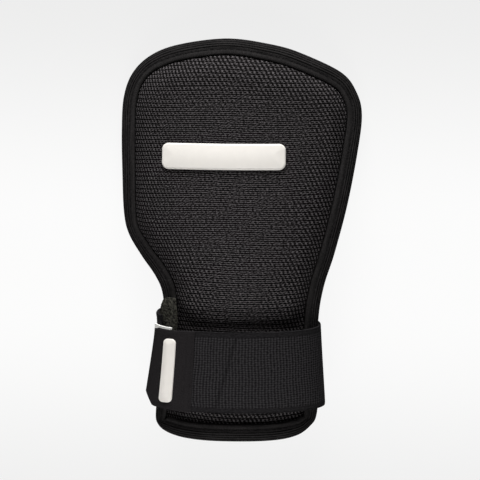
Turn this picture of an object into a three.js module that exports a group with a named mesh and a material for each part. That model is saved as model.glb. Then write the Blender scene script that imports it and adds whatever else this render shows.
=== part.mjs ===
// Batting hand guard for a right hand: a foam shield for the back of the hand and wrist, covered in
// knit mesh and bound round its edge, with an elastic wrist strap that closes over its face.
// It lies on its back, on the flattened strap and the two finger-end corners of the shield.
// Units are mm. +X is the little finger's side, +Y runs to the fingers and +Z is up.
import * as THREE from 'three';

const { clamp, degToRad, lerp, smoothstep } = THREE.MathUtils;

// Driving sizes
const GAP = 0.3;
const PLY_GAP = 0.4;
const PAD = { edge: 3.2, foam: 4.6, flatRim: 9.2, rise: 9.5 };
const BINDING = { face: 8.6, cloth: 1.2, dome: 0.5, round: 1.3, shoulder: 0.3, nose: 1.2 };
const WING = {
  thickness: 1.5, from: 146, to: 200, bottom: -78.5, tuck: 2, tuckTo: 168, lean: 4, leanFrom: 0.7,
};
const STRAP = {
  width: 38, endWidth: 36.1, top: -39.7, thickness: 1.2, from: 156, to: 520, startShift: 5.5,
};
const TAB = { thickness: 0.9, from: 119, clipHeight: 6, clipAngle: 12, slantAngle: 6.5 };
const HOOK = { thickness: 0.9, from: 140, standsOver: 0.9, pastEnd: 8 };
const SHIELD_BADGE = { x: -6, y: 39, length: 54, height: 12, corner: 3, thickness: 1.8, bevel: 1 };
const TAB_BADGE = {
  angle: 136, mmPerDegree: 0.6, y: -58.5, length: 5.6, height: 30, corner: 2, thickness: 1.2, bevel: 0.8,
};

// The pad's middle surface: crown height and radius of the curve across, at stations along its length
const SPINE = [
  { y: -96, height: 37.5, radius: 45 },
  { y: -60, height: 37.5, radius: 45 },
  { y: -45, height: 37.2, radius: 45.5 },
  { y: -20, height: 34.2, radius: 54 },
  { y: 0, height: 31, radius: 70 },
  { y: 20, height: 27.8, radius: 84 },
  { y: 45, height: 23.2, radius: 94 },
  { y: 70, height: 18.9, radius: 96 },
  { y: 84, height: 15, radius: 96 },
  { y: 96, height: 9.6, radius: 96 },
];

// The bound edge seen from above, once round. A corner marks where one side of the pad's grid ends.
const OUTLINE = [
  { x: -36.8, y: -89.8, corner: true },
  { x: -27, y: -92.7 },
  { x: 0, y: -92.5 },
  { x: 23.5, y: -92.1 },
  { x: 32.5, y: -88.5, corner: true },
  { x: 36.1, y: -81 },
  { x: 35.8, y: -58 },
  { x: 36.6, y: -36 },
  { x: 39.2, y: -21 },
  { x: 44.1, y: -6 },
  { x: 50, y: 16 },
  { x: 54.4, y: 39 },
  { x: 56.5, y: 57 },
  { x: 54.1, y: 68.1 },
  { x: 46.8, y: 77.8, corner: true },
  { x: 28.4, y: 86.8 },
  { x: 13.8, y: 91 },
  { x: -6, y: 93.5 },
  { x: -28.4, y: 90.6 },
  { x: -42.2, y: 85.3 },
  { x: -50.8, y: 77, corner: true },
  { x: -55, y: 65.6 },
  { x: -55.8, y: 50 },
  { x: -55.3, y: 31 },
  { x: -54.3, y: 11 },
  { x: -51.7, y: 1 },
  { x: -45.1, y: -8.7 },
  { x: -38.2, y: -17.4 },
  { x: -34.6, y: -25.3 },
  { x: -33.8, y: -38 },
  { x: -35, y: -62 },
  { x: -38.1, y: -81.6 },
];
const ACROSS = 22;
const ALONG = 40;

// The strap's loop round the wrist: half widths inside it at stations along the cuff
const LOOP = [
  { y: -84, left: 40.4, right: 40.4 },
  { y: -78, left: 39.8, right: 40.1 },
  { y: -40, left: 35.5, right: 37.8 },
  { y: -33, left: 36.1, right: 38 },
  { y: -24, left: 38.2, right: 39.2 },
];
const LOOP_HEIGHT = { middle: 22, above: 22, below: 21.8, boxiness: 3 };

// Angles round the loop over which the strap sinks off the wing, climbs onto its own start again, comes
// level from a start that lies nearer the fingers, and narrows at its lower edge to its free end
const SINK = { from: 205, to: 245 };
const CLIMB = { from: 466, to: 507 };
const LEVEL = { from: 190, to: 340 };
const NARROW = { from: 478, to: 512 };
const TURN = 360;

// The wing's free top edge, by angle round the loop
const WING_TOP = [
  { y: 146, edge: -25.6 },
  { y: 155, edge: -26.4 },
  { y: 170, edge: -33.6 },
  { y: 200, edge: -37 },
];

// Cubic Hermite curve through a table's rows, with each slope from the rows on both sides
function slopeAt(rows, column, i) {
  const before = rows[Math.max(i - 1, 0)];
  const after = rows[Math.min(i + 1, rows.length - 1)];
  return (after[column] - before[column]) / (after.y - before.y);
}

function along(rows, column, y) {
  let i = rows.length - 2;
  while (i > 0 && rows[i].y > y) i -= 1;
  const [a, b] = [rows[i], rows[i + 1]];
  const span = b.y - a.y;
  const t = clamp((y - a.y) / span, 0, 1);
  const bend = t * t * (3 - 2 * t);
  const out = t * (1 - t) * (1 - t) * span * slopeAt(rows, column, i);
  const into = t * t * (t - 1) * span * slopeAt(rows, column, i + 1);
  return lerp(a[column], b[column], bend) + out + into;
}

// The pad's middle surface over a plan point, and the point a given rise off it along its normal
function shellHeight(x, y) {
  const radius = along(SPINE, 'radius', y);
  return along(SPINE, 'height', y) - radius + Math.sqrt(radius * radius - x * x);
}

function offShell(x, y, rise) {
  const step = 0.05; // short enough for the slope to be the surface's own
  const dx = (shellHeight(x + step, y) - shellHeight(x - step, y)) / (2 * step);
  const dy = (shellHeight(x, y + step) - shellHeight(x, y - step)) / (2 * step);
  const normal = new THREE.Vector3(-dx, -dy, 1).normalize();
  return new THREE.Vector3(x, y, shellHeight(x, y)).addScaledVector(normal, rise);
}

// Stations round the bound edge: plan point, inward direction, and plan length of 1 mm of slope
const edgeCurve = new THREE.CatmullRomCurve3(
  OUTLINE.map(({ x, y }) => new THREE.Vector3(x, y, 0)), true, 'catmullrom', 0.5);
const corners = OUTLINE.flatMap(({ corner }, i) => (corner ? [i] : []));

function edgeStation(t) {
  const point = edgeCurve.getPoint(t % 1);
  const way = edgeCurve.getTangent(t % 1);
  const inward = new THREE.Vector3(-way.y, way.x, 0);
  const probe = point.clone().addScaledVector(inward, BINDING.face / 2);
  const far = probe.clone().add(inward);
  const climb = shellHeight(far.x, far.y) - shellHeight(probe.x, probe.y);
  return { point, inward, squeeze: 1 / Math.hypot(1, climb) };
}

const stations = [ACROSS, ALONG, ACROSS, ALONG].flatMap((steps, side) => {
  const from = corners[side];
  const to = corners[side + 1] ?? OUTLINE.length + corners[0];
  return Array.from({ length: steps }, (_, i) => edgeStation(lerp(from, to, i / steps) / OUTLINE.length));
});

function inset({ point, inward, squeeze }, distance) {
  return point.clone().addScaledVector(inward, distance * squeeze);
}

// The pad's plan grid: a Coons patch over the four sides of its edge, which lies inside the binding
const padEdge = stations.map((station) => inset(station, BINDING.cloth + GAP));
const [lowLeft, lowRight, topRight, topLeft] =
  [0, ACROSS, ACROSS + ALONG, 2 * ACROSS + ALONG].map((i) => padEdge[i]);

function padPlan(i, j) {
  const s = i / ACROSS;
  const t = j / ALONG;
  const bottom = padEdge[i];
  const right = padEdge[ACROSS + j];
  const top = padEdge[2 * ACROSS + ALONG - i];
  const left = padEdge[(2 * (ACROSS + ALONG) - j) % padEdge.length];
  const sides = bottom.clone().lerp(top, t).add(left.clone().lerp(right, s));
  const low = lowLeft.clone().lerp(lowRight, s);
  return sides.sub(low.lerp(topLeft.clone().lerp(topRight, s), t));
}

// Foam over the middle surface: none on the flat rim under the binding, then up to its full height.
// Distance in from the pad's edge is measured down the slope, from the nearest stretch of edge.
function foam(x, y) {
  const spot = new THREE.Vector3(x, y, 0);
  const nearest = new THREE.Vector3();
  const reach = padEdge.map((start, i) => {
    const stretch = new THREE.Line3(start, padEdge[(i + 1) % padEdge.length]);
    return stretch.closestPointToPoint(spot, true, nearest).distanceTo(spot) / stations[i].squeeze;
  });
  return PAD.foam * smoothstep(Math.min(...reach), PAD.flatRim, PAD.flatRim + PAD.rise);
}

function padFace(x, y, over = 0) {
  return offShell(x, y, PAD.edge / 2 + foam(x, y) + over);
}

// The strap's loop: half an ellipse over the pad, a boxy half below it, flat where it lies on its back
function onLoop(angle, y, rise) {
  const c = Math.cos(degToRad(angle));
  const s = Math.sin(degToRad(angle));
  const { middle, above, below, boxiness } = LOOP_HEIGHT;
  const wide = along(LOOP, c < 0 ? 'left' : 'right', y) + rise;
  if (s >= 0) return new THREE.Vector3(wide * c, y, middle + (above + rise) * s);
  const power = 2 / boxiness;
  const drop = (below + rise) * Math.abs(s) ** power;
  const flat = STRAP.thickness - rise;
  return new THREE.Vector3(wide * Math.sign(c) * Math.abs(c) ** power, y, Math.max(middle - drop, flat));
}

// How far each layer of the closure lies off the loop
const startRise = WING.thickness + PLY_GAP;
const hookRise = startRise + STRAP.thickness + PLY_GAP;
const endRise = hookRise + HOOK.thickness + PLY_GAP;

function strapRise(angle) {
  const start = startRise * (1 - smoothstep(angle, SINK.from, SINK.to));
  return start + endRise * smoothstep(angle, CLIMB.from, CLIMB.to);
}

function strapY(angle, v) {
  const shift = STRAP.startShift * (1 - smoothstep(angle, LEVEL.from, LEVEL.to));
  const width = lerp(STRAP.width, STRAP.endWidth, smoothstep(angle, NARROW.from, NARROW.to));
  return STRAP.top + shift - width * (1 - v);
}

// Rows across the strap, from its lower edge; its free end slants back to its upper edge, and like the hook
// tape's it is clipped at the lower corner
const ROWS = [0, TAB.clipHeight / STRAP.width, 0.4, 0.6, 0.75, 0.88, 1];

function clipCut(v) {
  return TAB.clipAngle * clamp(1 - (v * STRAP.width) / TAB.clipHeight, 0, 1);
}

function endCut(v) {
  return clipCut(v) + TAB.slantAngle * v;
}

// A closed solid between two grids of points, walled in round their edge
function slab(columns, rows, outer, inner) {
  const stride = rows + 1;
  const sheet = (columns + 1) * stride;
  const positions = [];
  for (const side of [outer, inner]) {
    for (let i = 0; i <= columns; i += 1) {
      for (let j = 0; j <= rows; j += 1) positions.push(...side(i, j).toArray());
    }
  }
  const index = [];
  const quad = (a, b, c, d) => index.push(a, b, c, a, c, d);
  for (let i = 0; i < columns; i += 1) {
    for (let j = 0; j < rows; j += 1) {
      const a = i * stride + j;
      quad(a, a + stride, a + stride + 1, a + 1);
      quad(sheet + a, sheet + a + 1, sheet + a + stride + 1, sheet + a + stride);
    }
  }
  const wall = (a, b) => quad(b, a, sheet + a, sheet + b);
  for (let i = 0; i < columns; i += 1) {
    wall(i * stride, (i + 1) * stride);
    wall((i + 1) * stride + rows, i * stride + rows);
  }
  for (let j = 0; j < rows; j += 1) {
    wall(j + 1, j);
    wall(columns * stride + j, columns * stride + j + 1);
  }
  return solid(positions, index);
}

// A closed section carried round a closed ring of stations
function ring(count, section) {
  const rows = Array.from({ length: count }, (_, i) => section(i));
  const around = rows[0].length;
  const index = [];
  for (let i = 0; i < count; i += 1) {
    for (let j = 0; j < around; j += 1) {
      const [a, b] = [i * around, ((i + 1) % count) * around];
      const k = (j + 1) % around;
      index.push(a + j, b + j, b + k, a + j, b + k, a + k);
    }
  }
  return solid(rows.flat().flatMap((point) => point.toArray()), index);
}

// Faces are turned outwards if the solid comes out with its volume below zero
function solid(positions, index) {
  const corner = (i) => new THREE.Vector3().fromArray(positions, 3 * index[i]);
  let volume = 0;
  for (let i = 0; i < index.length; i += 3) volume += corner(i).dot(corner(i + 1).cross(corner(i + 2)));
  if (volume < 0) index.reverse();
  const geometry = new THREE.BufferGeometry();
  geometry.setAttribute('position', new THREE.Float32BufferAttribute(positions, 3));
  geometry.setIndex(index);
  geometry.computeVertexNormals();
  return geometry;
}

function piece(name, geometry, color, roughness) {
  const mesh = new THREE.Mesh(geometry, new THREE.MeshStandardMaterial({ color, roughness, metalness: 0 }));
  mesh.name = name;
  return mesh;
}

function shieldPad() {
  const outer = (i, j) => {
    const { x, y } = padPlan(i, j);
    return padFace(x, y);
  };
  const inner = (i, j) => {
    const { x, y } = padPlan(i, j);
    return offShell(x, y, -PAD.edge / 2);
  };
  return piece('shield_pad', slab(ACROSS, ALONG, outer, inner), 0x2b2a2b, 0.9);
}

// The binding's section: distance in from the bound edge, and rise off the middle surface. It is domed
// on the outer face and turns round the edge over a short nose.
function edgeBinding() {
  const { face, cloth, dome, round, shoulder, nose } = BINDING;
  const under = PAD.edge / 2 + GAP;
  const skin = under + cloth;
  const profile = [
    [face, skin], [face / 2, skin + dome], [round, skin - shoulder], [0, nose],
    [0, -nose], [round, shoulder - skin], [face, -skin],
    [face, -under], [cloth, -under], [cloth, under], [face, under],
  ];
  const section = (i) => profile.map(([distance, rise]) => {
    const { x, y } = inset(stations[i], distance);
    return offShell(x, y, rise);
  });
  return piece('edge_binding', ring(stations.length, section), 0x2a2829, 0.8);
}

function cuffWing() {
  const [columns, rows] = [14, 10];
  const layer = (rise) => (i, j) => {
    const lean = WING.lean * clamp((j / rows - WING.leanFrom) / (1 - WING.leanFrom), 0, 1);
    const angle = lerp(WING.from - lean, WING.to, i / columns);
    const y = lerp(WING.bottom, along(WING_TOP, 'edge', angle), j / rows);
    const tuck = WING.tuck * (1 - smoothstep(angle, WING.from, WING.tuckTo));
    return onLoop(angle, y, rise - tuck);
  };
  return piece('cuff_wing', slab(columns, rows, layer(WING.thickness), layer(0)), 0x34312e, 0.95);
}

function wristStrap() {
  const columns = 100;
  const layer = (over) => (i, j) => {
    const angle = lerp(STRAP.from, STRAP.to, i / columns);
    const cut = angle - endCut(ROWS[j]) * clamp((angle - CLIMB.from) / (STRAP.to - CLIMB.from), 0, 1);
    return onLoop(cut, strapY(cut, ROWS[j]), strapRise(cut) + over);
  };
  const elastic = slab(columns, ROWS.length - 1, layer(STRAP.thickness), layer(0));
  return piece('wrist_strap', elastic, 0x2c2a2b, 0.85);
}

function strapTab() {
  const columns = 14;
  const under = STRAP.thickness + GAP;
  const layer = (over) => (i, j) => {
    const end = STRAP.to - endCut(ROWS[j]);
    const angle = lerp(TAB.from + TURN, end, i / columns);
    return onLoop(angle, strapY(angle, ROWS[j]), strapRise(angle) + under + over);
  };
  const facing = slab(columns, ROWS.length - 1, layer(TAB.thickness), layer(0));
  return piece('strap_tab', facing, 0x2e2b2c, 0.6);
}

function hookPatch() {
  const columns = 12;
  const layer = (over) => (i, j) => {
    const v = ROWS[j];
    const end = STRAP.to - clipCut(v) + HOOK.pastEnd;
    const angle = lerp(HOOK.from + TURN, end, i / columns);
    const y = strapY(angle, v) + HOOK.standsOver * v;
    return onLoop(angle, y, strapRise(angle) - PLY_GAP - HOOK.thickness + over);
  };
  const tape = slab(columns, ROWS.length - 1, layer(HOOK.thickness), layer(0));
  return piece('hook_patch', tape, 0xe9e8e4, 0.7);
}

// Half the height of a bar with rounded corners, at a distance from its middle
function barHalf({ length, height, corner }, from) {
  const past = Math.max(Math.abs(from) - (length / 2 - corner), 0);
  return height / 2 - corner + Math.sqrt(Math.max(corner * corner - past * past, 0));
}

// A plain bevelled bar: its grid's columns crowd to the rounded corners, and its face draws in
function bar(size, columns, place) {
  const rows = 6;
  const spread = (i) => Math.sin((i / columns - 0.5) * Math.PI);
  const layer = (draw, over) => (i, j) => {
    const from = (spread(i) * size.length) / 2;
    const half = barHalf(size, from);
    const aside = (j / rows - 0.5) * 2 * half;
    return place(from * (1 - (2 * draw) / size.length), aside * (1 - draw / (size.height / 2)), over);
  };
  return slab(columns, rows, layer(size.bevel, size.thickness), layer(0, 0));
}

function shieldBadge() {
  const place = (dx, dy, over) => padFace(SHIELD_BADGE.x + dx, SHIELD_BADGE.y + dy, GAP + over);
  return piece('shield_badge', bar(SHIELD_BADGE, 24, place), 0xe4e1da, 0.45);
}

function tabBadge() {
  const under = STRAP.thickness + TAB.thickness + 2 * GAP;
  const place = (dx, dy, over) => {
    const angle = TAB_BADGE.angle + TURN - dx / TAB_BADGE.mmPerDegree;
    return onLoop(angle, TAB_BADGE.y + dy, strapRise(angle) + under + over);
  };
  return piece('tab_badge', bar(TAB_BADGE, 10, place), 0xe4e1da, 0.45);
}

const guard = new THREE.Group();
guard.add(shieldPad(), edgeBinding(), cuffWing(), wristStrap());
guard.add(strapTab(), hookPatch(), shieldBadge(), tabBadge());

export default guard;
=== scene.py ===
"""Batting hand guard for a right hand, dressed over its solids.

A foam shield covered in knit mesh and bound round its edge, with an elastic wrist strap that closes
over its face. Shapes are worked out in mm, with +X to the little finger's side, +Y to the fingers and
+Z up, and go into the meshes in metres.
"""
from types import SimpleNamespace as Sizes

import bpy
import numpy as np
from mathutils import Matrix, Vector


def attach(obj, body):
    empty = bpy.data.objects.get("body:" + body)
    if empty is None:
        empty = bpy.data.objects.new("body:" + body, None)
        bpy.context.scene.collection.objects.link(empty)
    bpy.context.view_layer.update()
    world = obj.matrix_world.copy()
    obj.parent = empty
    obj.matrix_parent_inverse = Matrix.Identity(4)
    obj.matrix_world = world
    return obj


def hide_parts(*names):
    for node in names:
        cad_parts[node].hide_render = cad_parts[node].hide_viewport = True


bl_info = {
    "name": "Batting hand guard",
    "version": (1, 0, 0),
    "blender": (4, 5, 0),
    "location": "View3D > Sidebar > Hand guard",
    "description": "Builds a padded batting hand guard with its wrist strap",
    "category": "Object",
}

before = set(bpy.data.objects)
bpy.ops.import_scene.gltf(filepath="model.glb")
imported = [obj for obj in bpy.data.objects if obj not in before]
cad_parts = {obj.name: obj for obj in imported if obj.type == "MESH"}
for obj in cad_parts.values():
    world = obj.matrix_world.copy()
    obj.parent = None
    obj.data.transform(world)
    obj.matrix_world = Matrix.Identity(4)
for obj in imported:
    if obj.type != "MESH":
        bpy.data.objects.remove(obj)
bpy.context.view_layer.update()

MM = 0.001
BODY = "root"

# Driving sizes in mm and degrees, the same as the solids'
GAP = 0.3
PLY_GAP = 0.4
PAD = Sizes(edge=3.2, foam=4.6, flat_rim=9.2, rise=9.5)
BINDING = Sizes(face=8.6, cloth=1.2)
WING = Sizes(
    thickness=1.5, start=146, end=200, bottom=-78.5, length=50, tuck=2, tuck_end=168, lean=4, lean_start=0.7
)
STRAP = Sizes(width=38, end_width=36.1, top=-39.7, thickness=1.2, start=156, end=520, start_shift=5.5)
TAB = Sizes(thickness=0.9, start=479, clip_height=6, clip_angle=12, slant_angle=6.5)
HOOK = Sizes(thickness=0.9, start=500, stands_over=0.9, past_end=8)
SHIELD_BADGE = Sizes(x=-6, y=39, length=54, height=12, corner=3, thickness=1.8, bevel=1)
TAB_BADGE = Sizes(
    angle=496, mm_per_degree=0.6, y=-58.5, length=5.6, height=30, corner=2, thickness=1.2, bevel=0.8
)

# The pad's middle surface: crown height and radius of the curve across, at stations along its length
SPINE = {
    "y": (-96, -60, -45, -20, 0, 20, 45, 70, 84, 96),
    "height": (37.5, 37.5, 37.2, 34.2, 31, 27.8, 23.2, 18.9, 15, 9.6),
    "radius": (45, 45, 45.5, 54, 70, 84, 94, 96, 96, 96),
}

# The bound edge seen from above, side by side round the pad; a side ends where the next begins
EDGE_SIDES = (
    ((-36.8, -89.8), (-27, -92.7), (0, -92.5), (23.5, -92.1)),
    (
        (32.5, -88.5), (36.1, -81), (35.8, -58), (36.6, -36), (39.2, -21),
        (44.1, -6), (50, 16), (54.4, 39), (56.5, 57), (54.1, 68.1),
    ),
    ((46.8, 77.8), (28.4, 86.8), (13.8, 91), (-6, 93.5), (-28.4, 90.6), (-42.2, 85.3)),
    (
        (-50.8, 77), (-55, 65.6), (-55.8, 50), (-55.3, 31), (-54.3, 11), (-51.7, 1),
        (-45.1, -8.7), (-38.2, -17.4), (-34.6, -25.3), (-33.8, -38), (-35, -62), (-38.1, -81.6),
    ),
)
OUTLINE = np.array([point for side in EDGE_SIDES for point in side], float)

# Over the hand the foam swells from under the binding, whose lip holds it down, and so sooner than at the
# cuff; the strap presses it in, most of all under its two edges
SWELL = Sizes(start=5.4, width=13.5, cuff_y=-44, hand_y=-24)
LIP = Sizes(start=6.8, end=7.9)
PRESS = {
    "y": (-96, -84, -78, -73, -52, -45, -41, -38.6, -35.5, -30),
    "depth": (1.2, 2.2, 2.2, 0.4, 0.4, 3.2, 3.6, 3.3, 2, 0),
}

# The strap's loop round the wrist: half widths inside it at stations along the cuff
LOOP = {
    "y": (-84, -78, -40, -33, -24),
    "left": (40.4, 39.8, 35.5, 36.1, 38.2),
    "right": (40.4, 40.1, 37.8, 38, 39.2),
}
LOOP_HEIGHT = Sizes(middle=22, above=22, below=21.8, boxiness=3)

# Angles round the loop over which the strap sinks off the wing, climbs onto its own start again, comes
# level from a start that lies nearer the fingers, and narrows at its lower edge to its free end
SINK = (205, 245)
CLIMB = (466, 507)
LEVEL = (190, 340)
NARROW = (478, 512)

# The wing's free top edge, by angle round the loop
WING_TOP = {"y": (146, 155, 170, 200), "edge": (-25.6, -26.4, -33.6, -37)}

# How far each layer of the closure lies off the loop
START_RISE = WING.thickness + PLY_GAP
HOOK_RISE = START_RISE + STRAP.thickness + PLY_GAP
END_RISE = HOOK_RISE + HOOK.thickness + PLY_GAP


def linear(code):
    """Linear colour from an sRGB hex code."""
    srgb = np.array([int(code[i:i + 2], 16) for i in (1, 3, 5)]) / 255
    low = srgb / 12.92
    high = ((srgb + 0.055) / 1.055) ** 2.4
    return tuple(float(x) for x in np.where(srgb <= 0.04045, low, high))


def rgba(colour):
    """Shader colour from a colour property."""
    return (*colour, 1)


# Settings


def size_property(name, description, mm):
    """Length property whose default is given in mm."""
    return bpy.props.FloatProperty(
        name=name, description=description, default=mm * MM, min=0, precision=5, unit="LENGTH"
    )


def colour_property(name, description, code):
    """Colour property whose default is given as an sRGB hex code."""
    return bpy.props.FloatVectorProperty(
        name=name, description=description, default=linear(code), size=3, min=0, max=1, subtype="COLOR"
    )


def power_property(name, description, watts):
    """Power property of a light."""
    return bpy.props.FloatProperty(name=name, description=description, default=watts, min=0, unit="POWER")


class HandGuardSizes(bpy.types.PropertyGroup):
    """Sizes of the cloths and threads"""

    knit_across: size_property("Knit pitch across", "Width of one cell of the knit mesh", 2.15)
    knit_along: size_property("Knit pitch along", "Height of one row of the knit mesh", 1.92)
    knit_relief: size_property("Knit relief", "Height of the knit's loops over its holes", 0.28)
    # Real ribs are about 0.9 mm apart; drawn at 1.2 mm so that they show
    rib_pitch: size_property("Binding rib pitch", "Spacing of the ribs along the binding tape", 1.2)
    rib_relief: size_property("Binding rib relief", "Height of the binding tape's ribs", 0.3)
    weave_along: size_property("Elastic weave along", "Spacing of the elastic's lines across it", 1.46)
    weave_across: size_property("Elastic weave across", "Spacing of the elastic's lines along it", 1.09)
    weave_relief: size_property("Elastic weave relief", "Height of the elastic's weave", 0.2)
    stitch_length: size_property("Stitch length", "Length of one stitch", 2.4)
    stitch_gap: size_property("Stitch gap", "Bare cloth between two stitches", 0.7)
    thread_radius: size_property("Thread radius", "Half the thickness of the sewing thread", 0.16)


class HandGuardColours(bpy.types.PropertyGroup):
    """Colours of the cloths and mouldings"""

    knit_loop: colour_property("Knit loops", "Raised loops of the knit mesh", "#4b4849")
    # The holes' colour is the dark foam under them plus painted shade deep in them
    knit_hole: colour_property("Knit holes", "Holes between the knit mesh's loops", "#060505")
    binding: colour_property("Binding", "Binding tape round the edge", "#111010")
    lining: colour_property("Lining", "Inside of the pad", "#1b1a1b")
    brushed: colour_property("Brushed loop", "Brushed cloth of the cuff wing", "#363530")
    elastic: colour_property("Elastic", "Woven elastic of the strap", "#1a191a")
    facing: colour_property("Tab facing", "Smooth facing of the strap's tab", "#1c1a1b")
    hook: colour_property("Hook tape", "Hook tape behind the tab", "#f1f0ec")
    rubber: colour_property("Badge rubber", "Moulded badges", "#d8d4ce")
    thread: colour_property("Thread", "Sewing thread", "#171516")
    floor: colour_property("Floor", "Plain floor", "#444443")


class HandGuardStage(bpy.types.PropertyGroup):
    """Camera and light"""

    distance: bpy.props.FloatProperty(
        name="Camera distance", description="From the aim to the camera", default=0.9, unit="LENGTH"
    )
    aim: bpy.props.FloatVectorProperty(
        name="Aim", description="Point that the camera looks at", default=(0.0007, 0, 0.02),
        subtype="TRANSLATION", unit="LENGTH",
    )
    lean_side: bpy.props.FloatProperty(
        name="Lean to the side", description="Camera's lean to the little finger's side",
        default=np.radians(4), subtype="ANGLE",
    )
    lean_up: bpy.props.FloatProperty(
        name="Lean to the fingers", description="Camera's lean to the fingers' end",
        default=np.radians(8), subtype="ANGLE",
    )
    view_width: size_property("View width", "Width of the view at the aim", 225.6)
    key_power: power_property("Key light", "Power of the softbox past the fingers", 48)
    front_power: power_property("Front light", "Power of the softbox past the wrist", 2.7)
    side_power: power_property("Side light", "Power of the softbox on the thumb's side", 0.15)
    floor_glow: bpy.props.FloatProperty(
        name="Floor glow", description="Light that comes up through the floor", default=0.905, min=0
    )
    ambient: bpy.props.FloatProperty(
        name="Ambient", description="Strength of the pale surround", default=0.2, min=0
    )


# Curves and surfaces


def smoothstep(x, low, high):
    """Smooth climb from 0 at low to 1 at high."""
    t = np.clip((x - low) / (high - low), 0, 1)
    return t * t * (3 - 2 * t)


def drifted(place, other, rates, drift):
    """Place on a cloth plus a sine of the place the other way, bent by a sine of its own."""
    return place + drift.amount * np.sin(rates[0] * other + drift.bend * np.sin(rates[1] * place))


def bell(x, width):
    """Bell curve: the exponential of minus the square of x over the width."""
    return np.exp(-((x / width) ** 2))


def along(table, column, y):
    """Cubic Hermite curve through a table's rows, with each slope from the rows on both sides."""
    knots = np.array(table["y"], float)
    values = np.array(table[column], float)
    before = np.maximum(np.arange(len(knots)) - 1, 0)
    after = np.minimum(np.arange(len(knots)) + 1, len(knots) - 1)
    slopes = (values[after] - values[before]) / (knots[after] - knots[before])
    i = np.clip(np.searchsorted(knots, y, side="right") - 1, 0, len(knots) - 2)
    span = knots[i + 1] - knots[i]
    t = np.clip((y - knots[i]) / span, 0, 1)
    bend = t * t * (3 - 2 * t)
    out = t * (1 - t) ** 2 * span * slopes[i]
    into = t * t * (t - 1) * span * slopes[i + 1]
    return values[i] * (1 - bend) + values[i + 1] * bend + out + into


def lengths(points):
    """Distance along a row of points, from its first."""
    steps = np.linalg.norm(np.diff(points, axis=0), axis=-1)
    return np.concatenate([[0], np.cumsum(steps)])


def unit(vectors):
    """Vectors at length 1."""
    return vectors / np.linalg.norm(vectors, axis=-1, keepdims=True)


def shell_height(x, y):
    """The pad's middle surface: an arc across, hung from the spine's height and radius at y."""
    radius = along(SPINE, "radius", y)
    return along(SPINE, "height", y) - radius + np.sqrt(radius**2 - x**2)


def off_shell(x, y, rise):
    """Points of the middle surface over a plan, moved out along its normal by rise."""
    step = 0.05
    dx = (shell_height(x + step, y) - shell_height(x - step, y)) / (2 * step)
    dy = (shell_height(x, y + step) - shell_height(x, y - step)) / (2 * step)
    normal = unit(np.stack([-dx, -dy, np.ones_like(dx)], -1))
    return np.stack([x, y, shell_height(x, y)], -1) + np.asarray(rise)[..., None] * normal


def edge_stations(t):
    """Stations round the bound edge, on a closed Catmull-Rom curve where t counts the outline's points.

    Each has its plan point, its inward direction, and the plan length of 1 mm measured down the slope.
    """
    i = np.floor(t).astype(int)
    f = (t - i)[:, None]
    p0, p1, p2, p3 = (OUTLINE[(i + k) % len(OUTLINE)] for k in (-1, 0, 1, 2))
    a = 2 * p1
    b = p2 - p0
    c = 2 * p0 - 5 * p1 + 4 * p2 - p3
    d = 3 * (p1 - p2) + p3 - p0
    point = (a + b * f + c * f**2 + d * f**3) / 2
    way = unit(b + 2 * c * f + 3 * d * f**2)
    inward = np.stack([-way[:, 1], way[:, 0]], -1)
    probe = point + inward * BINDING.face / 2
    far = probe + inward
    climb = shell_height(*far.T) - shell_height(*probe.T)
    return Sizes(point=point, inward=inward, squeeze=1 / np.hypot(1, climb))


def even_stations(count):
    """Stations round the bound edge at even distances along it."""
    fine = np.linspace(0, len(OUTLINE), 4001)
    run = lengths(edge_stations(fine).point)
    return edge_stations(np.interp(np.linspace(0, run[-1], count, endpoint=False), run, fine))


def inset(stations, distance):
    """Plan points a distance in from the stations, measured down the slope."""
    return stations.point + stations.inward * (distance * stations.squeeze)[:, None]


EDGE = even_stations(600)
EDGE_RUN = float(lengths(EDGE.point)[-1])
PAD_EDGE = inset(EDGE, BINDING.cloth + GAP)
# Plan points measured against the edge at once, so that the arrays stay small
BLOCK = 4000


def in_blocks(x, y):
    """Plan points in blocks."""
    spots = np.stack([x.ravel(), y.ravel()], -1)
    return np.array_split(spots, len(spots) // BLOCK + 1)


def reach(x, y):
    """Distance in from the pad's edge, down the slope, at each plan point."""
    near = []
    for block in in_blocks(x, y):
        away = np.linalg.norm(block[:, None] - PAD_EDGE, axis=-1) / EDGE.squeeze
        near.append(away.min(axis=1))
    return np.concatenate(near).reshape(x.shape)


def inside_edge(x, y):
    """Whether plan points lie inside the pad's edge: the sign of the step in from its nearest station."""
    signs = []
    for block in in_blocks(x, y):
        step = block[:, None] - PAD_EDGE
        near = np.argmin((step**2).sum(-1), axis=1)
        signs.append((step[np.arange(len(block)), near] * EDGE.inward[near]).sum(-1) > 0)
    return np.concatenate(signs).reshape(x.shape)


def foam(x, y):
    """Foam over the middle surface: at the cuff a smooth rise inside a flat rim, and over the hand a
    quarter sine that swells from under the binding's lip; lower where the strap presses it."""
    edge = reach(x, y)
    cuff = smoothstep(edge, PAD.flat_rim, PAD.flat_rim + PAD.rise)
    hand = np.sin(np.pi / 2 * np.clip((edge - SWELL.start) / SWELL.width, 0, 1))
    hand = hand * smoothstep(edge, LIP.start, LIP.end)
    share = smoothstep(y, SWELL.cuff_y, SWELL.hand_y)
    return (PAD.foam - along(PRESS, "depth", y)) * (cuff * (1 - share) + hand * share)


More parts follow.
